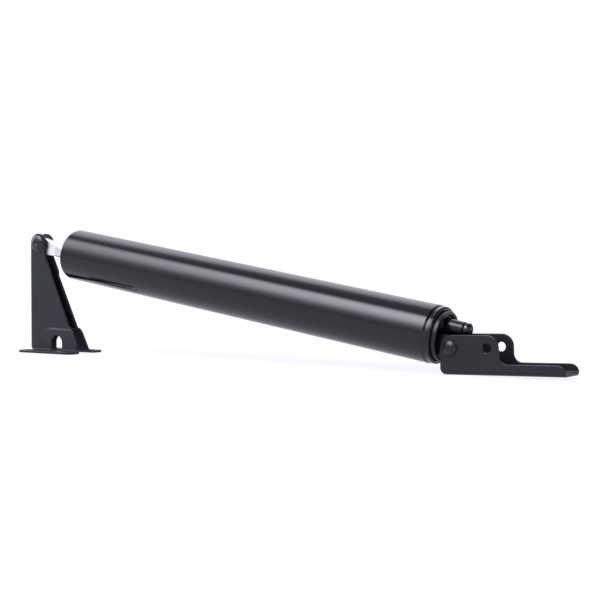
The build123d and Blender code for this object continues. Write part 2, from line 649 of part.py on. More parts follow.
with BuildPart() as lever_rivet:
    rivet_plane = Plane(origin=rivet_centre, x_dir=(1, 0, 0), z_dir=(0, -1, 0))
    with BuildSketch(rivet_plane):
        Circle(RIVET_RADIUS)
    extrude(amount=LEVER_WIDTH / 2, both=True)
    for side in (-1, 1):
        with BuildSketch(rivet_plane.offset(side * LEVER_WIDTH / 2)):
            Circle(RIVET_HEAD_RADIUS)
        extrude(amount=side * RIVET_HEAD_HEIGHT)
    heads = lever_rivet.edges().filter_by(GeomType.CIRCLE).group_by(Axis.Y)
    fillet(heads[0] + heads[-1], RIVET_HEAD_HEIGHT * 0.8)
finish(lever_rivet, "lever_rivet")

# Key places, printed for whoever mounts the closer
for name, place in (("jamb pin", pin_centre), ("rivet", rivet_centre), ("axis", along_tube)):
    print(name, [round(value, 4) for value in place])
print("slope", round(degrees(SLOPE), 4), "degrees")
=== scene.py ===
import json
from math import atan2, ceil, cos, degrees, pi, radians, sin, tan

import bmesh
import bpy
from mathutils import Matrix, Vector
from mathutils.geometry import tessellate_polygon


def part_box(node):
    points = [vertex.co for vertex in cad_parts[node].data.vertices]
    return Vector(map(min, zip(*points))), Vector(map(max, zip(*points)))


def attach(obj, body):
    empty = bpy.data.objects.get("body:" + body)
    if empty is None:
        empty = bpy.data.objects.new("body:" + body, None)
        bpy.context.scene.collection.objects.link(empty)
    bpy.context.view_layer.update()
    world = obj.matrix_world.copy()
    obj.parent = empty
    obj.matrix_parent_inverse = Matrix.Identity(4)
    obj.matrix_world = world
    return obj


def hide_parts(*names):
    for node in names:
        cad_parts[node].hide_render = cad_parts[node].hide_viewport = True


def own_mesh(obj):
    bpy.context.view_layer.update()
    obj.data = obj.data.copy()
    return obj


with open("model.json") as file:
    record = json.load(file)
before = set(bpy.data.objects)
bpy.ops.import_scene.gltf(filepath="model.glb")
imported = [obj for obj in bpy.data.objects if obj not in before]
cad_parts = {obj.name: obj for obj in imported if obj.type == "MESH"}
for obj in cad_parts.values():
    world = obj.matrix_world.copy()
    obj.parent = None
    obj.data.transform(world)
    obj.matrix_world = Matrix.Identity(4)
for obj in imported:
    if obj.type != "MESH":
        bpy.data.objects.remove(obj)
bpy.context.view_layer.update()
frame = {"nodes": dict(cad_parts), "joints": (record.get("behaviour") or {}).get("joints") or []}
joints = {joint["name"]: joint for joint in frame["joints"]}

# Jamb bracket: one stamping of 1.5 mm steel. A narrow web at the back joins two tapering side
# plates, which spread at the foot and turn out into flanges for the screws. It is powder coated
# semi-gloss black, and its cut edges are tumbled round before that.
MM = 0.001


class Wire:
    """A node's output that takes part in Python sums."""

    def __init__(self, finish, socket):
        self.finish, self.socket = finish, socket

    def sum(self, operation, first, second):
        return self.finish.node("ShaderNodeMath", {"operation": operation}, {0: first, 1: second})

    def __add__(self, other):
        return self.sum("ADD", self, other)

    def __sub__(self, other):
        return self.sum("SUBTRACT", self, other)

    def __rsub__(self, other):
        return self.sum("SUBTRACT", other, self)

    def __mul__(self, other):
        return self.sum("MULTIPLY", self, other)

    def __pow__(self, other):
        return self.sum("POWER", self, other)

    __radd__ = __add__
    __rmul__ = __mul__


class Finish:
    """One surface finish, built node by node."""

    def __init__(self, name, owner=None):
        self.owner = owner or bpy.data.materials.new(name)
        self.owner.use_nodes = True
        self.tree = self.owner.node_tree
        self.tree.nodes.clear()

    def node(self, kind, settings, sockets, output=0):
        """Add a node: its settings first, then values or links for its sockets."""
        made = self.tree.nodes.new(kind)
        for name, value in settings.items():
            if name == "stops":
                steps = made.color_ramp.elements
                for place, level in value:
                    step = steps[0] if place == 0 else steps[-1] if place == 1 else steps.new(place)
                    step.color = (level, level, level, 1)
            else:
                setattr(made, name, value)
        for name, value in sockets.items():
            socket = made.inputs[name]
            if isinstance(value, Wire):
                self.tree.links.new(value.socket, socket)
            elif socket.type == "RGBA":
                socket.default_value = (*value, 1)
            else:
                socket.default_value = value
        return None if output is None else Wire(self, made.outputs[output])

    def place(self, along=None, stretch=1.0):
        """Coordinates on the piece in metres, drawn out along a direction if one is given."""
        spot = self.node("ShaderNodeTexCoord", {}, {}, "Object")
        if along is None:
            return spot
        slope = atan2(-along[2], along[0])
        turned = self.node("ShaderNodeMapping", {}, {"Vector": spot, "Rotation": (0, -slope, 0)})
        return self.node(
            "ShaderNodeVectorMath", {"operation": "MULTIPLY"}, {0: turned, 1: (1 / stretch, 1, 1)}
        )

    def noise(self, size_mm, detail=2.0, spot=None):
        """Cloudy mask from 0 to 1 whose patches are about size_mm across."""
        return self.node(
            "ShaderNodeTexNoise", {},
            {"Vector": spot or self.place(), "Scale": 1 / (size_mm * MM), "Detail": detail}, "Fac",
        )

    def between(self, mask, low, high):
        """Spread a mask so that low becomes 0 and high becomes 1."""
        return self.node(
            "ShaderNodeMapRange", {"clamp": True},
            {"Value": mask, "From Min": low, "From Max": high, "To Min": 0.0, "To Max": 1.0},
        )

    def blend(self, mask, low, high):
        """Colour between low and high, by a mask from 0 to 1."""
        return self.node("ShaderNodeMix", {"data_type": "RGBA"}, {0: mask, 6: low, 7: high}, 2)

    def relief(self, height, depth_mm, strength=1.0):
        """Normal of a surface raised by a mask, depth_mm from its lowest to its highest."""
        return self.node(
            "ShaderNodeBump", {}, {"Height": height, "Distance": depth_mm * MM, "Strength": strength}
        )

    def surface(self, **sockets):
        """Close the finish with its shader and return the material."""
        sockets = {name.replace("_", " "): value for name, value in sockets.items()}
        shader = self.node("ShaderNodeBsdfPrincipled", {}, sockets)
        self.node("ShaderNodeOutputMaterial", {}, {"Surface": shader}, output=None)
        return self.owner


def powder_coat(name, black, roughness, pebble_mm, pebble_depth):
    """Baked powder: near black, with fine pebbles, cloudy gloss and a few nibs."""
    coat = Finish(name)
    cloud = coat.noise(14.0, 3.0)
    pebbles = coat.noise(pebble_mm, 1.0)
    nibs = coat.between(coat.noise(0.5, 1.0), 0.74, 0.8)
    return coat.surface(
        Base_Color=coat.blend(cloud, black, tuple(1.8 * level for level in black)),
        Roughness=roughness + 0.12 * (cloud - 0.5) + 0.15 * nibs, Specular_IOR_Level=0.3,
        Normal=coat.relief(pebbles + 0.4 * nibs, pebble_depth),
    )


def rounded(corners, arc_step=12.0):
    """Closed outline through (x, y, radius) corners, each radius drawn as an arc."""
    outline = []
    for i, (x, y, radius) in enumerate(corners):
        here = Vector((x, y))
        if not radius:
            outline.append(here)
            continue
        to_last = (Vector(corners[i - 1][:2]) - here).normalized()
        to_next = (Vector(corners[(i + 1) % len(corners)][:2]) - here).normalized()
        half = to_last.angle(to_next) / 2
        centre = here + (to_last + to_next).normalized() * radius / sin(half)
        first = here + to_last * radius / tan(half) - centre
        last = here + to_next * radius / tan(half) - centre
        start = atan2(first.y, first.x)
        turn = (atan2(last.y, last.x) - start + pi) % (2 * pi) - pi
        steps = max(2, ceil(abs(degrees(turn)) / arc_step))
        for k in range(steps + 1):
            angle = start + turn * k / steps
            outline.append(centre + radius * Vector((cos(angle), sin(angle))))
    return outline


def circle(x, y, radius, sides=40):
    """Closed round outline."""
    angles = [2 * pi * k / sides for k in range(sides)]
    return [Vector((x + radius * cos(a), y + radius * sin(a))) for a in angles]


def wound(outline, left):
    """The outline's points, running anticlockwise if left is true, else clockwise."""
    area = sum(a.x * b.y - b.x * a.y for a, b in zip(outline[-1:] + outline[:-1], outline))
    return outline if (area > 0) == left else outline[::-1]


def add_object(name, work):
    """Turn a bmesh in millimetres into a smooth-shaded object in metres."""
    bmesh.ops.remove_doubles(work, verts=work.verts, dist=0.001)
    bmesh.ops.dissolve_degenerate(work, edges=work.edges, dist=0.0005)
    bmesh.ops.recalc_face_normals(work, faces=work.faces)
    bmesh.ops.scale(work, verts=work.verts, vec=(MM, MM, MM))
    mesh = bpy.data.meshes.new(name)
    work.to_mesh(mesh)
    work.free()
    mesh.shade_smooth()
    mesh.set_sharp_from_angle(angle=radians(38))
    piece = bpy.data.objects.new(name, mesh)
    bpy.context.scene.collection.objects.link(piece)
    even = piece.modifiers.new("even_shading", "WEIGHTED_NORMAL")
    even.keep_sharp = True
    return piece


def cut_sheet(name, outline, holes, thickness, edge, folds, shape):
    """Sheet cut to an outline with holes, its edges rounded, then bent by shape(u, v).

    The blank is flat, u across and v up. It is divided at the places in folds, so that it can bend
    there, and then each point is carried to shape(u, v) and along the bent sheet's normal.
    """
    loops = [wound(outline, True)] + [wound(hole, False) for hole in holes]
    arc = [radians(angle) for angle in (0, 30, 60, 90)]
    layers = [(edge * (1 - sin(a)), thickness / 2 - edge * (1 - cos(a))) for a in arc]
    layers += [(inset, -height) for inset, height in reversed(layers)]
    work = bmesh.new()
    rims = []
    for loop in loops:
        inward = []
        for i, point in enumerate(loop):
            before = (point - loop[i - 1]).normalized()
            after = (loop[(i + 1) % len(loop)] - point).normalized()
            mean = Vector((-before.y - after.y, before.x + after.x))
            inward.append(mean / (1 + before.dot(after)))
        rims.append([
            [work.verts.new((*(point + mitre * inset), height)) for point, mitre in zip(loop, inward)]
            for inset, height in layers
        ])
    for rim in rims:
        for upper, lower in zip(rim, rim[1:]):
            for i in range(len(upper)):
                work.faces.new((upper[i - 1], upper[i], lower[i], lower[i - 1]))
    for layer in (0, -1):
        flat = [vert for rim in rims for vert in rim[layer]]
        for corners in tessellate_polygon([[vert.co for vert in rim[layer]] for rim in rims]):
            work.faces.new([flat[i] for i in corners])
    for axis, places in enumerate(folds):
        for place in places:
            normal = Vector((axis == 0, axis == 1, 0))
            bmesh.ops.bisect_plane(
                work, geom=work.verts[:] + work.edges[:] + work.faces[:], dist=0.0005,
                plane_co=normal * place, plane_no=normal,
            )
    step = 0.01
    for vert in work.verts:
        u, v, height = vert.co
        along_u = shape(u + step, v) - shape(u - step, v)
        along_v = shape(u, v + step) - shape(u, v - step)
        vert.co = shape(u, v) + along_u.cross(along_v).normalized() * height
    return add_object(name, work)


def fit(piece, material, body, node):
    """Give a piece its finish, hang it on its body and let it stand for the CAD node."""
    piece.data.materials.append(material)
    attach(piece, body)
    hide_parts(node)


def ease(value):
    """Smooth step from 0 to 1."""
    value = min(max(value, 0.0), 1.0)
    return value * value * (3 - 2 * value)


pin = Vector(joints["jamb_pivot"]["pos_m"]) / MM
bracket_sheet = 1.5
ear_width = 8.2
bracket_back = -7.8                             # from the pin, as all x values of the bracket
plate_y = ear_width / 2 - bracket_sheet / 2     # middle of each plate's thickness
web_x = bracket_back + bracket_sheet / 2
web_bend = 1.65
web_flat = plate_y - web_bend
web_arc = web_bend * pi / 2
plate_start = web_x + web_bend
ear_radius = 6.5
web_top = 61.5
web_bottom = 2.2
flange_bend = 1.55
flange_top = bracket_sheet / 2 + flange_bend
flange_arc = flange_bend * pi / 2
flange_blank = 10.0
flange_edge_y = 16.0
flange_front = 38.5
spread_start = 5.0
spread_end = 35.4
spread_width = 2.25
ledge_top = 15.9
ledge_bottom = 14.5
screw_spread = 16.5
screw_x = (-pin.x - screw_spread, -pin.x + screw_spread)
screw_y = 11.2


def blank_u(side, x):
    """Place on the bracket's blank of a point x from the pin on a side plate."""
    return side * (x - plate_start + web_flat + web_arc)


def bracket_shape(u, v):
    """Fold the bracket's blank: back web, side plates, spread foot and flanges."""
    side = 1 if u > 0 else -1
    reach = abs(u)
    plate_x = reach - web_flat - web_arc + plate_start
    if reach < web_flat:
        x, y = web_x, reach
    elif reach < web_flat + web_arc:
        angle = (reach - web_flat) / web_bend
        x, y = web_x + web_bend * (1 - cos(angle)), web_flat + web_bend * sin(angle)
    else:
        x, y = plate_x, plate_y
    straight = ease((v - web_top) / 2.5)
    x += straight * (plate_x - x)
    y += straight * (plate_y - y)
    spread = min(max((x - spread_start) / (spread_end - spread_start), 0.0), 1.0)
    y += spread_width * spread * ease((ledge_top - v) / (ledge_top - ledge_bottom))
    z = v
    below = flange_top - v
    if below > 0:
        angle = min(below, flange_arc) / flange_bend
        z = flange_top - flange_bend * sin(angle)
        y += flange_bend * (1 - cos(angle))
    out = below - flange_arc
    if out > 0:
        y += (flange_edge_y - y) * out / flange_blank
        widening = (plate_start - bracket_back) / (flange_front - plate_start)
        x -= (flange_front - x) * widening * ease(out / 2.5)
    return Vector((pin.x + x, side * y, z))


def flange_hole(side, x, y, radius):
    """Round screw hole, traced back from the folded flange to the blank."""
    hole = []
    for point in circle(x, y, radius, 32):
        widening = (plate_start - bracket_back) / (flange_front - plate_start)
        flat_x = (point.x + flange_front * widening) / (1 + widening)
        spread = min(max((flat_x - spread_start) / (spread_end - spread_start), 0.0), 1.0)
        root = plate_y + flange_bend + spread_width * spread
        out = flange_blank * (point.y - root) / (flange_edge_y - root)
        hole.append(Vector((blank_u(side, flat_x), flange_top - flange_arc - out)))
    return hole


# Front edges of the two plates from the flange up to the ear: x from the pin, height, radius
near_front = [
    (35.9, 2.0, 1.0), (35.5, 6.6, 6.0), (32.0, 13.6, 3.0), (27.0, 16.6, 3.0), (12.6, 47.6, 2.0),
    (10.7, 52.4, 1.5), (6.0, 61.5, 5.0), (5.3, 65.4, 2.0),
]
far_front = [
    (35.3, 2.0, 1.0), (30.0, 13.2, 2.0), (27.7, 16.0, 2.0), (12.2, 47.6, 6.0), (11.2, 49.6, 0.6),
    (11.2, 52.3, 0.8), (6.6, 61.8, 5.0), (5.6, 65.4, 2.0),
]
ear = [
    (ear_radius, pin.z - 2.2, 2.2), (ear_radius, pin.z + ear_radius, 6.4),
    (-ear_radius, pin.z + ear_radius, 6.4), (-ear_radius, web_top, 0.6),
]
flange_root = flange_top - flange_arc
flange_end = flange_root - flange_blank
corner_u = web_flat + web_arc
flange_corners = [(corner_u, flange_end, 3.4), (blank_u(1, flange_front), flange_end, 3.8),
                  (blank_u(1, flange_front), flange_root + 0.4, 1.2)]
far_corners = flange_corners + [(blank_u(1, x), z, radius) for x, z, radius in far_front + ear]
near_corners = [
    (blank_u(-1, x), z, radius) for x, z, radius in reversed(near_front + ear)
] + [(-u, v, radius) for u, v, radius in reversed(flange_corners)]
web_corners = [(-corner_u, web_bottom, 0.8), (corner_u, web_bottom, 0.8)]
bracket_outline = rounded(far_corners + near_corners + web_corners)

arch_radius = 5.05
arch_top = 11.15
pin_hole = 2.45
screw_hole = 2.3
bracket_holes = []
for side, arch_x in ((-1, 16.9), (1, 13.3)):
    middle = blank_u(side, arch_x)
    left, right = middle - arch_radius, middle + arch_radius
    bracket_holes.append(rounded([
        (left, 1.5, 0.5), (right, 1.5, 0.5),
        (right, arch_top, arch_radius - 0.05), (left, arch_top, arch_radius - 0.05),
    ]))
    bracket_holes.append(circle(blank_u(side, 0.0), pin.z, pin_hole))
    for x in screw_x:
        bracket_holes.append(flange_hole(side, x, screw_y, screw_hole))

bend_lines = [web_flat + web_arc * k / 8 for k in range(9)]
plate_lines = [blank_u(1, 2.0 + 3.0 * k) for k in range(13)]
side_lines = bend_lines + plate_lines
folds_u = side_lines + [-u for u in side_lines] + [0.0]
folds_v = [flange_top - flange_arc * k / 8 for k in range(9)]
folds_v += [flange_root - 0.5 * k for k in range(1, 6)] + [flange_root - 2.5 * k for k in (2, 3)]
folds_v += [ledge_bottom + (ledge_top - ledge_bottom) * k / 8 for k in range(9)]
folds_v += [web_top + 0.4 * k for k in range(7)]
bracket = cut_sheet(
    "bracket_stamping", bracket_outline, bracket_holes, bracket_sheet, 0.35, (folds_u, folds_v),
    bracket_shape,
)
bracket_black = powder_coat("bracket_powder_coat", (0.0043, 0.0047, 0.0068), 0.48, 0.55, 0.006)
fit(bracket, bracket_black, "bracket", "jamb_bracket")


# Jamb pin: a cold-headed steel pin with a low domed head, dimpled in the middle by the header,
# and blackened with the bracket. Behind the far ear a split ring of spring steel sits in its groove.
def turned_piece(name, foot, axis, corners, segments=96):
    """Closed profile of (reach, radius, rounding) corners, turned about an axis."""
    axis = Vector(axis).normalized()
    across = axis.cross((0, 0, 1)).normalized()
    upward = across.cross(axis)
    profile = rounded(corners)
    work = bmesh.new()
    spokes = []
    for k in range(segments):
        angle = 2 * pi * k / segments
        outward = across * cos(angle) + upward * sin(angle)
        spokes.append([work.verts.new(foot + axis * p.x + outward * p.y) for p in profile])
    for k, spoke in enumerate(spokes):
        for i, point in enumerate(profile):
            if point.y > 0.0001 or profile[i - 1].y > 0.0001:
                work.faces.new((spokes[k - 1][i - 1], spokes[k - 1][i], spoke[i], spoke[i - 1]))
    return add_object(name, work)


ear_face = 4.1
head_radius = 5.75
head_height = 2.0
head_top = -ear_face - head_height
pin_radius = 2.4
pin_end = ear_face + 2.6
groove_start = ear_face + 0.15
groove_end = groove_start + 0.9
pin_piece = turned_piece(
    "headed_jamb_pin", pin, (0, 1, 0),
    [
        (head_top + 0.35, 0, 0), (head_top + 0.3, 0.8, 0.4), (head_top, 1.3, 0.4),
        (head_top + 0.2, 3.0, 6.0), (head_top + 0.8, 4.8, 3.0), (-ear_face - 0.1, head_radius, 0.1),
        (-ear_face, pin_radius, 0), (groove_start, pin_radius, 0), (groove_start, pin_radius - 0.5, 0),
        (groove_end, pin_radius - 0.5, 0), (groove_end, pin_radius, 0.1), (pin_end, pin_radius, 0.4),
        (pin_end, 0, 0),
    ],
)
pin_black = Finish("blackened_pin")
pin_scale = pin_black.noise(1.2, 4.0)
pin_scuffs = pin_black.between(pin_black.noise(0.35, 3.0), 0.55, 0.8)
fit(
    pin_piece,
    pin_black.surface(
        Base_Color=pin_black.blend(pin_scuffs, (0.002, 0.002, 0.0025), (0.008, 0.008, 0.009)),
        Roughness=0.12 + 0.12 * pin_scale,
        Normal=pin_black.relief(pin_scale, 0.02),
    ),
    "bracket", "jamb_pin",
)


def spring_steel(name, tint, roughness):
    """Drawn, hardened wire or strip with an oily dark film and drawing lines."""
    steel = Finish(name)
    film = steel.noise(3.0, 4.0)
    lines = steel.noise(0.12, 2.0)
    return steel.surface(
        Base_Color=steel.blend(film, tint, tuple(1.6 * level for level in tint)), Metallic=1.0,
        Roughness=roughness + 0.15 * film + 0.1 * lines,
        Normal=steel.relief(lines, 0.004),
    )


def refinish(node, material):
    """Give a CAD node that stays in view its finish."""
    slots = frame["nodes"][node].data.materials
    slots.clear()
    slots.append(material)


refinish("jamb_pin_ring", spring_steel("retaining_ring_steel", (0.18, 0.18, 0.19), 0.3))

# Piston rod: drawn steel bar, its end pressed flat into an eye that swells out into the round bar,
# then bright zinc plated. Drawing lines run along it, and the plating is faintly cloudy.
slide_axis = Vector(joints["rod_slide"]["axis"])


def bright_plate(name, tint, roughness, line_depth, along=None):
    """Bright zinc: bluish, cloudy, with the lines of the bar or strip beneath."""
    zinc = Finish(name)
    cloud = zinc.noise(2.5, 4.0)
    spots = zinc.between(zinc.noise(0.6, 3.0), 0.6, 0.78)
    lines = zinc.noise(0.09, 2.0, zinc.place(along, 40.0)) if along else zinc.noise(0.15, 3.0)
    return zinc.surface(
        Base_Color=zinc.blend(
            cloud * 0.8 + 0.2 * spots, tint, tuple(min(1.0, 1.22 * level) for level in tint)
        ),
        Metallic=1.0,
        Roughness=roughness + 0.12 * cloud + 0.1 * lines,
        Normal=zinc.relief(lines, line_depth),
    )


tang_half = 2.0
rod_radius = 3.97
rod_middle = -2.1          # the rod's axis below the pin, square to the rod
seat_start = 261.45
thread_radius = 3.0
rod_tip = 285.25
rise = slide_axis.cross((0, 1, 0)).normalized()      # square to the rod, in the closer's plane
if rise.z < 0:
    rise = -rise
tang_end = 13.2
swell_end = 24.0
tang_outline = rounded([
    (-6.0, rod_middle - 4.9, 5.2), (3.1, rod_middle - 4.9, 6.2), (tang_end, rod_middle - 3.95, 0),
    (tang_end + 2.0, rod_middle - 3.6, 0), (tang_end + 2.0, rod_middle + 3.6, 0),
    (tang_end, rod_middle + 3.95, 0), (3.1, rod_middle + 6.2, 6.2), (-6.0, rod_middle + 6.2, 5.2),
])
tang = cut_sheet(
    "rod_tang", tang_outline, [circle(0, 0, pin_hole)], 2 * tang_half, 0.5, ((), ()),
    lambda u, v: pin + slide_axis * u + rise * v,
)
bar = bmesh.new()
rings = []
bar_sides = 64
swell_start = tang_end - 1.0
swell_steps = 12
buried_half = tang_half - 0.1
# Reach from the pin, half thickness, half height and squareness of the bar's section
sections = [(swell_start, 0, 0, 2)]
for k in range(swell_steps + 1):
    swell = ease(k / swell_steps)
    reach = swell_start + (swell_end - swell_start) * k / swell_steps
    half = buried_half + (rod_radius - buried_half) * swell
    sections.append((reach, half, rod_radius, 9 - 7 * swell ** 0.5))
sections += [
    (seat_start, rod_radius, rod_radius, 2), (seat_start, thread_radius, thread_radius, 2),
    (rod_tip - 0.5, thread_radius, thread_radius, 2), (rod_tip, 2.5, 2.5, 2), (rod_tip, 0, 0, 2),
]
for reach, half_thick, half_high, square in sections:
    ring = []
    for k in range(bar_sides):
        angle = 2 * pi * k / bar_sides
        round_off = (abs(cos(angle)) ** square + abs(sin(angle)) ** square) ** (-1 / square)
        spot = pin + slide_axis * reach + rise * (rod_middle + half_high * sin(angle) * round_off)
        ring.append(bar.verts.new(spot + Vector((0, half_thick * cos(angle) * round_off, 0))))
    rings.append(ring)
for last, ring in zip(rings, rings[1:]):
    for k in range(bar_sides):
        bar.faces.new((last[k - 1], last[k], ring[k], ring[k - 1]))
rod = add_object("drawn_rod", bar)
rod_zinc = bright_plate("rod_zinc", (0.66, 0.67, 0.69), 0.2, 0.006, slide_axis)
tang_zinc = bright_plate("tang_zinc", (0.70, 0.70, 0.68), 0.3, 0.006, slide_axis)
fit(rod, rod_zinc, "rod", "piston_rod")
fit(tang, tang_zinc, "rod", "piston_rod")

# Front guide: a moulded nylon bushing whose nose shows round the rod. Inside it are an oiled felt
# ring that wipes the rod and, behind it, a plated washer that the spring bears on.
tube_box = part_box("cylinder_tube")
tube_length = 266.7
tube_radius = 15.875
tube_middle = (tube_box[0] + tube_box[1]) / 2 / MM
tube_front = tube_middle - slide_axis * tube_length / 2
tube_rear = tube_middle + slide_axis * tube_length / 2
rod_hole = 4.02
nose_radius = 5.42
nose_length = 3.2
lip_radius = 9.0
tube_wall = 1.25
bushing_length = 18.0
bushing_radius = tube_radius - tube_wall - 0.1
felt_start = tube_wall + 7.0
felt_end = tube_wall + 11.1
felt_depth = 2.5
bushing = turned_piece(
    "nylon_bushing", tube_front, slide_axis,
    [
        (-nose_length, rod_hole, 0.3), (-nose_length, nose_radius, 0.7), (0, nose_radius + 0.9, 0.5),
        (0, lip_radius - 0.1, 0), (tube_wall, lip_radius - 0.1, 0), (tube_wall, bushing_radius - 2, 0),
        (tube_wall + 2, bushing_radius, 0.5), (tube_wall + bushing_length, bushing_radius, 0.3),
        (tube_wall + bushing_length, rod_hole, 0.3), (felt_end, rod_hole, 0),
        (felt_end, rod_hole + felt_depth, 0), (felt_start, rod_hole + felt_depth, 0),
        (felt_start, rod_hole, 0),
    ],
)


def moulded(name, tint, roughness, depth):
    """Moulded plastic: slight mottling and a fine spark-eroded skin."""
    plastic = Finish(name)
    mottle = plastic.noise(4.0, 3.0)
    skin = plastic.noise(0.18, 2.0)
    return plastic.surface(
        Base_Color=plastic.blend(mottle, tint, tuple(0.88 * level for level in tint)),
        Roughness=roughness + 0.1 * (skin - 0.5),
        Subsurface_Weight=0.05,
        Normal=plastic.relief(skin, depth),
    )


fit(bushing, moulded("natural_nylon", (0.56, 0.57, 0.56), 0.42, 0.008), "cylinder", "rod_bushing")

felt = Finish("oiled_felt")
fibres = felt.noise(0.25, 6.0)
clumps = felt.noise(1.5, 3.0)
refinish("felt_wiper", felt.surface(
    Base_Color=felt.blend(fibres, (0.16, 0.13, 0.08), (0.42, 0.38, 0.29)),
    Roughness=0.8 + 0.15 * clumps,
    Normal=felt.relief(fibres + clumps, 0.15),
))
refinish("front_washer", bright_plate("washer_zinc", (0.50, 0.51, 0.53), 0.28, 0.004))

# Tube: 1 1/4 inch steel tube, crimped on the end plug and rolled in at both ends, then sprayed and
# stoved gloss black. The enamel has a faint orange peel drawn along the tube and a little dust in it.
front_roll = 2.0
rear_roll = 2.2
crimp = tube_length - 3.0
bore_radius = tube_radius - tube_wall
tube = turned_piece(
    "enamelled_tube", tube_front, slide_axis,
    [
        (0, lip_radius, 0.3), (0, tube_radius, front_roll), (crimp - 1.3, tube_radius, 1.0),
        (crimp - 0.4, tube_radius - 0.75, 0.7), (crimp + 1.1, tube_radius - 0.75, 0.4),
        (crimp + 1.65, tube_radius - 0.35, 0.5), (tube_length, tube_radius - 0.35, 1.1),
        (tube_length, tube_radius - rear_roll - 0.02, 0.2),
        (tube_length - tube_wall, tube_radius - rear_roll - 0.02, 0),
        (tube_length - tube_wall, bore_radius, rear_roll - tube_wall - 0.03),
        (tube_wall, bore_radius, front_roll - tube_wall), (tube_wall, lip_radius, 0.3),
    ],
    segments=160,
)
enamel = Finish("gloss_black_enamel")
peel = enamel.noise(2.2, 1.0, enamel.place(slide_axis, 2.0))
flow = enamel.noise(22.0, 2.0, enamel.place(slide_axis, 4.0))
dust = enamel.between(enamel.noise(0.7, 1.0), 0.77, 0.8)
fit(
    tube,
    enamel.surface(
        Base_Color=enamel.blend(flow, (0.0015, 0.0015, 0.0022), (0.0032, 0.0032, 0.0044)),
        Roughness=0.11 + 0.05 * flow + 0.15 * dust, Specular_IOR_Level=0.4,
        Normal=enamel.relief(peel + 0.5 * dust, 0.0035),
    ),
    "cylinder", "cylinder_tube",
)

# Inside the tube: the oil-tempered spring, which shortens as the tube slides out, the black moulded
# sleeve that stops the piston, and the acetal piston with its rubber cup, washers and plated nut.
spring_front = 51.6
spring_wire = 1.6
coil_radius = 11.2
coil_turns = 22
coil_steps = 40 * coil_turns
wire_sides = 12
coil_length = seat_start - spring_front - spring_wire
coil = bmesh.new()
rings = []
for k in range(coil_steps + 1):
    angle = 2 * pi * coil_turns * k / coil_steps
    outward = rise * cos(angle) - Vector((0, sin(angle), 0))
    reach = spring_front + spring_wire / 2 + coil_length * k / coil_steps
    middle = pin + slide_axis * reach + rise * rod_middle + outward * coil_radius
    rings.append([
        coil.verts.new(middle + (outward * spot.x + slide_axis * spot.y))
        for spot in circle(0, 0, spring_wire / 2, wire_sides)
    ])
for last, ring in zip(rings, rings[1:]):
    for k in range(wire_sides):
        coil.faces.new((last[k - 1], last[k], ring[k], ring[k - 1]))
coil.faces.new(rings[0])
coil.faces.new(rings[-1])
spring = add_object("coiled_spring", coil)
fit(spring, spring_steel("oil_tempered_wire", (0.10, 0.10, 0.11), 0.32), "rod", "main_spring")
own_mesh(spring)
refinish("stop_sleeve", moulded("black_sleeve_plastic", (0.02, 0.02, 0.021), 0.45, 0.01))
refinish("spring_seat", bright_plate("seat_zinc", (0.50, 0.51, 0.53), 0.28, 0.004))
refinish("piston", moulded("acetal", (0.62, 0.61, 0.57), 0.35, 0.006))
refinish("piston_back_washer", bright_plate("back_washer_zinc", (0.50, 0.51, 0.53), 0.28, 0.004))
refinish("piston_nut", bright_plate("nut_zinc", (0.52, 0.53, 0.55), 0.25, 0.004))


def seal_rubber(name):
    """Nitrile rubber: dull black with a greasy bloom."""
    rubber = Finish(name)
    bloom = rubber.noise(1.8, 4.0)
    skin = rubber.noise(0.2, 2.0)
    return rubber.surface(
        Base_Color=rubber.blend(bloom, (0.006, 0.006, 0.006), (0.02, 0.02, 0.02)),
        Roughness=0.42 + 0.2 * bloom,
        Normal=rubber.relief(skin, 0.01),
    )


refinish("piston_cup_seal", seal_rubber("cup_rubber"))

# End plug: one black casting held by the tube's rolled edge. Outside it has a raised rim round a
# shallow dish, the boss for the valve screw above, and below it the thick tongue that carries the
# lever. The rim is turned smooth, and the dish and tongue keep the grain of the die.
plug_length = 12.0
plug_radius = bore_radius - 0.1
rim_radius = 13.5
rim_height = 2.6
rim_wall = 1.5
dish_reach = rim_height - 2.9
groove_middle = -plug_length + 6.0
groove_half = 1.2
groove_depth = 2.3
plug = turned_piece(
    "plug_and_rim", tube_rear, slide_axis,
    [
        (-plug_length, 0, 0), (-plug_length, plug_radius, 0.4),
        (groove_middle - groove_half, plug_radius, 0.2),
        (groove_middle - groove_half, plug_radius - groove_depth, 0),
        (groove_middle + groove_half, plug_radius - groove_depth, 0),
        (groove_middle + groove_half, plug_radius, 0.2),
        (-rear_roll - tube_wall, plug_radius, 0), (-rear_roll, rim_radius, 0),
        (rim_height, rim_radius, 0.45), (rim_height, rim_radius - rim_wall, 0.6),
        (dish_reach, rim_radius - rim_wall - 0.2, 0.5), (dish_reach, 0, 0),
    ],
    segments=128,
)


def die_cast(name, black, roughness, depth):
    """Painted zinc casting: die grain and flow marks under semi-gloss black."""
    cast = Finish(name)
    flow_marks = cast.noise(5.0, 4.0)
    grain = cast.noise(0.4, 3.0)
    return cast.surface(
        Base_Color=cast.blend(flow_marks, black, tuple(2.0 * level for level in black)),
        Roughness=roughness + 0.15 * (flow_marks - 0.5) + 0.1 * grain, Specular_IOR_Level=0.3,
        Normal=cast.relief(grain + 0.5 * flow_marks, depth),
    )


cast_black = die_cast("cast_plug_black", (0.0045, 0.0045, 0.005), 0.24, 0.012)
fit(plug, cast_black, "cylinder", "end_plug")

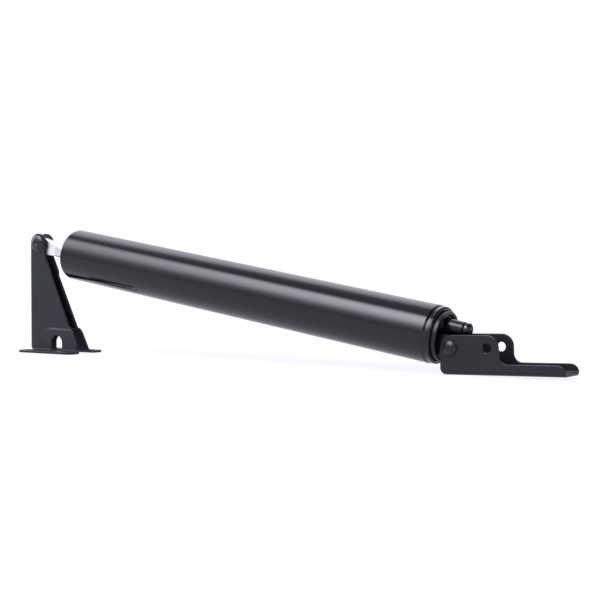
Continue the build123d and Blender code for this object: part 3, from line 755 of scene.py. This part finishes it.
valve_end = Vector(joints["valve_turn"]["pos_m"]) / MM
boss_length = 12.3
boss_radius = 3.8
boss_root = 4.2
valve_bore = 2.5
collar_radius = 5.2
collar_height = 1.1
collar_foot = dish_reach - boss_length
boss = turned_piece(
    "valve_boss", valve_end, slide_axis,
    [
        (-boss_length - 4.5, valve_bore, 0), (-boss_length - 4.5, boss_radius, 0),
        (collar_foot - 0.5, boss_radius, 0), (collar_foot - 0.5, collar_radius, 0),
        (collar_foot + collar_height, collar_radius, 0.45),
        (collar_foot + collar_height + 0.1, boss_root, 0.5), (0, boss_radius, 0.45),
        (0, valve_bore, 0.1),
    ],
    segments=72,
)
fit(boss, die_cast("cast_boss_black", (0.0035, 0.0035, 0.004), 0.12, 0.006), "cylinder", "end_plug")

rivet = Vector(joints["lever_pivot"]["pos_m"]) / MM
tongue_radius = 6.2
tongue_width = 15.6
rivet_hole = 2.85
tongue_root = -9.9 + dish_reach
tongue_outline = rounded([
    (tongue_root, -tongue_radius, 0), (tongue_radius, -tongue_radius, tongue_radius - 0.1),
    (tongue_radius, tongue_radius, tongue_radius - 0.1), (tongue_root, tongue_radius, 0),
])
tongue = cut_sheet(
    "lever_tongue", tongue_outline, [circle(0, 0, rivet_hole)], tongue_width, 0.6, ((), ()),
    lambda u, v: rivet + slide_axis * u + rise * v,
)
fit(tongue, die_cast("cast_tongue_black", (0.003, 0.003, 0.0034), 0.3, 0.02), "cylinder", "end_plug")
refinish("end_plug_seal", seal_rubber("plug_ring_rubber"))

# Valve screw: it sets how fast the air leaves. A turned steel screw, blackened, with a round slotted
# head just clear of the boss, a sealing ring on its shank and a needle point in the air passage.
screw_gap = 0.5
screw_head = 3.6
screw_radius = 3.75
shank_radius = 2.45
seal_middle = screw_gap - 3.0
seal_half = 0.5
shank_end = 13.5
needle_end = 17.9
screw = turned_piece(
    "valve_screw_body", valve_end, slide_axis,
    [
        (screw_gap - needle_end, 0, 0), (screw_gap - shank_end, 1.45, 0),
        (screw_gap - shank_end, shank_radius, 0.2),
        (seal_middle - seal_half, shank_radius, 0), (seal_middle - seal_half, shank_radius - 0.9, 0),
        (seal_middle + seal_half, shank_radius - 0.9, 0), (seal_middle + seal_half, shank_radius, 0),
        (screw_gap, shank_radius, 0), (screw_gap, screw_radius, 0.4),
        (screw_gap + 2.3, screw_radius, 1.4), (screw_gap + screw_head - 0.1, 2.0, 2.5),
        (screw_gap + screw_head, 0, 0),
    ],
    segments=72,
)
slot_width = 0.9
slot_depth = 1.1
slot_turn = radians(60)
blade = bmesh.new()
bmesh.ops.create_cube(blade, size=1.0)
slot_long = (Vector((0, 1, 0)) * cos(slot_turn) + rise * sin(slot_turn)).normalized()
slot_across = slide_axis.cross(slot_long)
slot_middle = valve_end + slide_axis * (screw_gap + screw_head)
for vert in blade.verts:
    along, across, deep = vert.co
    vert.co = (
        slot_middle + slot_long * along * 4 * screw_radius + slot_across * across * slot_width
        + slide_axis * deep * 2 * slot_depth
    )
cutter = add_object("slot_cutter", blade)
slotting = screw.modifiers.new("slot", "BOOLEAN")
slotting.operation = "DIFFERENCE"
slotting.solver = "EXACT"
slotting.object = cutter
screw.modifiers.move(1, 0)
slotted = bpy.data.meshes.new_from_object(screw.evaluated_get(bpy.context.evaluated_depsgraph_get()))
screw.modifiers.clear()
screw.data = slotted
bpy.data.objects.remove(cutter)
screw_black = Finish("blackened_screw")
turning = screw_black.noise(0.25, 2.0)
oil = screw_black.noise(2.0, 3.0)
fit(
    screw,
    screw_black.surface(
        Base_Color=screw_black.blend(oil, (0.003, 0.003, 0.0035), (0.008, 0.008, 0.009)),
        Roughness=0.12 + 0.1 * oil,
        Normal=screw_black.relief(turning, 0.003),
    ),
    "valve_screw", "valve_screw",
)
refinish("valve_seal", seal_rubber("valve_ring_rubber"))

# Hold-open lever: a U channel stamped from 1.6 mm steel, its web underneath. Tall round the rivet,
# it steps down in an S to the low tab that a foot presses. One hole takes the door bracket's pin.
# It is powder coated like the bracket.
lever_tilt = radians(1.5)
lever_forward = Vector((cos(lever_tilt), 0, sin(lever_tilt)))
lever_up = Vector((-sin(lever_tilt), 0, cos(lever_tilt)))
lever_sheet = 1.6
lever_width = 19.1
lever_back = -5.9
lever_front = 63.2
lever_top = 6.8
lever_bottom = -14.0
tab_top = -8.1
near_step, far_step = 27.3, 27.8
lever_bend = 1.4
floor_z = lever_bottom + lever_sheet / 2
lever_y = (lever_width - lever_sheet) / 2
floor_half = lever_y - lever_bend
lever_arc = lever_bend * pi / 2
wall_start = floor_half + lever_arc


def lever_shape(u, v):
    """Fold the lever's blank: floor between, a wall turned up at each side."""
    side = 1 if v > 0 else -1
    reach = abs(v)
    if reach < floor_half:
        y, z = reach, floor_z
    elif reach < wall_start:
        angle = (reach - floor_half) / lever_bend
        y, z = floor_half + lever_bend * sin(angle), floor_z + lever_bend * (1 - cos(angle))
    else:
        y, z = lever_y, floor_z + lever_bend + reach - wall_start
    return rivet + lever_forward * u + lever_up * z + Vector((0, side * y, 0))


def wall_v(z):
    """Place on the lever's blank of a height z on its walls."""
    return wall_start + z - floor_z - lever_bend


def wall_corners(step):
    """Corners of one wall from the tab's end to the inner end: u, v, radius."""
    return [
        (lever_front, wall_v(tab_top), 4.4), (step, wall_v(tab_top), 4.7),
        (step, wall_v(lever_top), 6.6), (lever_back, wall_v(lever_top), 7.0),
        (lever_back, wall_start + 0.4, 1.5), (lever_back + 2.0, floor_half, 1.5),
    ]


near_wall = [(u, -v, radius) for u, v, radius in reversed(wall_corners(near_step))]
lever_outline = rounded(wall_corners(far_step) + near_wall)
door_hole_reach = 21.0
door_hole = 2.5
lever_holes = []
for side in (-1, 1):
    lever_holes.append(circle(0, side * wall_v(0), rivet_hole))
    lever_holes.append(circle(door_hole_reach, side * wall_v(0), door_hole))
lever_bends = [floor_half + lever_arc * k / 8 for k in range(9)]
lever = cut_sheet(
    "lever_channel", lever_outline, lever_holes, lever_sheet, 0.35,
    ((), lever_bends + [-v for v in lever_bends]), lever_shape,
)
lever_black = powder_coat("lever_powder_coat", (0.0029, 0.0027, 0.0037), 0.42, 0.55, 0.006)
fit(lever, lever_black, "lever", "hold_open_lever")

# Lever rivet: a steel rivet through the lever and the tongue, closed to a low round head on both
# sides and painted with the lever. Its black is lighter than the lever's: painted light that stands
# in for the light its domed heads catch.
rivet_radius = 2.8
rivet_head = 4.1
rivet_dome = 1.9
face_y = lever_width / 2
dome = [
    (face_y + rivet_dome, 0, 0), (face_y + rivet_dome, 1.9, 3.0),
    (face_y + 0.75, rivet_head - 0.15, 0.9), (face_y + 0.02, rivet_head, 0.25),
    (face_y + 0.02, rivet_radius, 0),
]
rivet_piece = turned_piece(
    "lever_rivet_body", rivet, (0, 1, 0),
    dome + [(-reach, radius, rounding) for reach, radius, rounding in reversed(dome)], segments=72,
)
# Lighter black than the lever's paint: painted light for the light on the domed heads.
rivet_black_painted_light = powder_coat("rivet_paint_painted_light", (0.007, 0.007, 0.008), 0.14, 0.8, 0.004)
fit(rivet_piece, rivet_black_painted_light, "lever", "lever_rivet")

# Studio: a white floor that washes out to white, and a sky of soft light. Across the closer's
# length the sky has a wide bright band above the camera's side, a dark gap and a second band
# behind, which draw the long highlights on the tube.
floor_reach = 4000
floor_gap = 0.15
floor_mesh = bmesh.new()
bmesh.ops.create_grid(floor_mesh, x_segments=2, y_segments=2, size=floor_reach)
floor = add_object("studio_floor", floor_mesh)
floor.location.z = -floor_gap * MM
paper = Finish("white_paper")
paper_grain = paper.noise(900.0)
floor.data.materials.append(paper.surface(
    Base_Color=paper.blend(paper_grain, (0.1, 0.1, 0.1), (0.105, 0.105, 0.105)), Roughness=0.9,
    Specular_IOR_Level=0.0, Emission_Color=(0.88, 0.89, 1.0), Emission_Strength=0.98,
))

world = bpy.data.worlds.new("soft_sky")
bpy.context.scene.world = world
sky = Finish("soft_sky", world)
direction = sky.node("ShaderNodeTexCoord", {}, {}, "Generated")
aside, forward, height = [
    sky.node("ShaderNodeSeparateXYZ", {}, {0: direction}, axis) for axis in ("X", "Y", "Z")
]
above = sky.node("ShaderNodeMath", {"operation": "MAXIMUM"}, {0: height, 1: 0.0})
turn_up = sky.node("ShaderNodeMath", {"operation": "ARCTAN2"}, {0: above, 1: forward * -1.0}) * (1 / pi)
# Degrees up from the camera's side, over the top and down behind, and the light's strength there
front_band = [
    (0, 0), (9, 0), (15, 0.35), (20, 0.9), (25, 1.8), (30, 3.1), (35, 4.95), (40, 6.8), (45, 7.8),
    (50, 8.4), (55, 8.7), (60, 8.3), (65, 7.4), (69, 5.5), (72, 3.3), (76, 0.8), (79, 0.1), (180, 0),
]
rest_of_sky = [
    (0, 0.92), (20, 0.85), (60, 0.6), (85, 0.4), (95, 0.4), (100, 0.45), (106, 0.7), (111, 1.15),
    (116, 1.8), (121, 2.1), (130, 2.1), (140, 1.87), (150, 1.55), (160, 1.25), (170, 1.08), (180, 1.05),
]


def sky_strength(turn, levels):
    """The sky's strength from its list of angles and levels."""
    brightest = max(level for _, level in levels)
    stops = [(angle / 180, level / brightest) for angle, level in levels]
    return sky.node("ShaderNodeValToRGB", {"stops": stops}, {0: turn}) * brightest


band_turn = turn_up * (1 + 0.4 * (aside + 0.42))
band_rise = 0.45 + 0.8 * sky.between(aside, -0.6, -0.35)
band_fall = 1 - 0.85 * sky.between(aside, -0.2, 0.3)
band = sky_strength(band_turn, front_band) * band_rise * band_fall
rest_turn = turn_up + (12 / 180) * sky.between(aside, -0.42, -0.57)
dark_side = sky.between(aside, -0.15, 0.25) * sky.between(height, 0.06, 0.14)
rest = sky_strength(rest_turn, rest_of_sky) * (1 - 0.85 * dark_side)
background = sky.node(
    "ShaderNodeBackground", {}, {"Color": (0.97, 0.98, 1.09), "Strength": band + rest}
)
sky.node("ShaderNodeOutputWorld", {}, {"Surface": background}, output=None)

# Camera: level with the closer and near its lever end, as in the photograph. Its place, turn and
# lens were solved from the photograph's outlines.
camera_data = bpy.data.cameras.new("camera")
camera_data.sensor_width = 36
camera_data.lens = 78.0
camera = bpy.data.objects.new("camera", camera_data)
camera.location = (0.5967, -0.6141, 0.0605)
camera.rotation_euler = (pi / 2 - 0.0317, 0, 0.5883)
bpy.context.scene.collection.objects.link(camera)
bpy.context.scene.camera = camera
bpy.context.scene.view_settings.view_transform = "Standard"
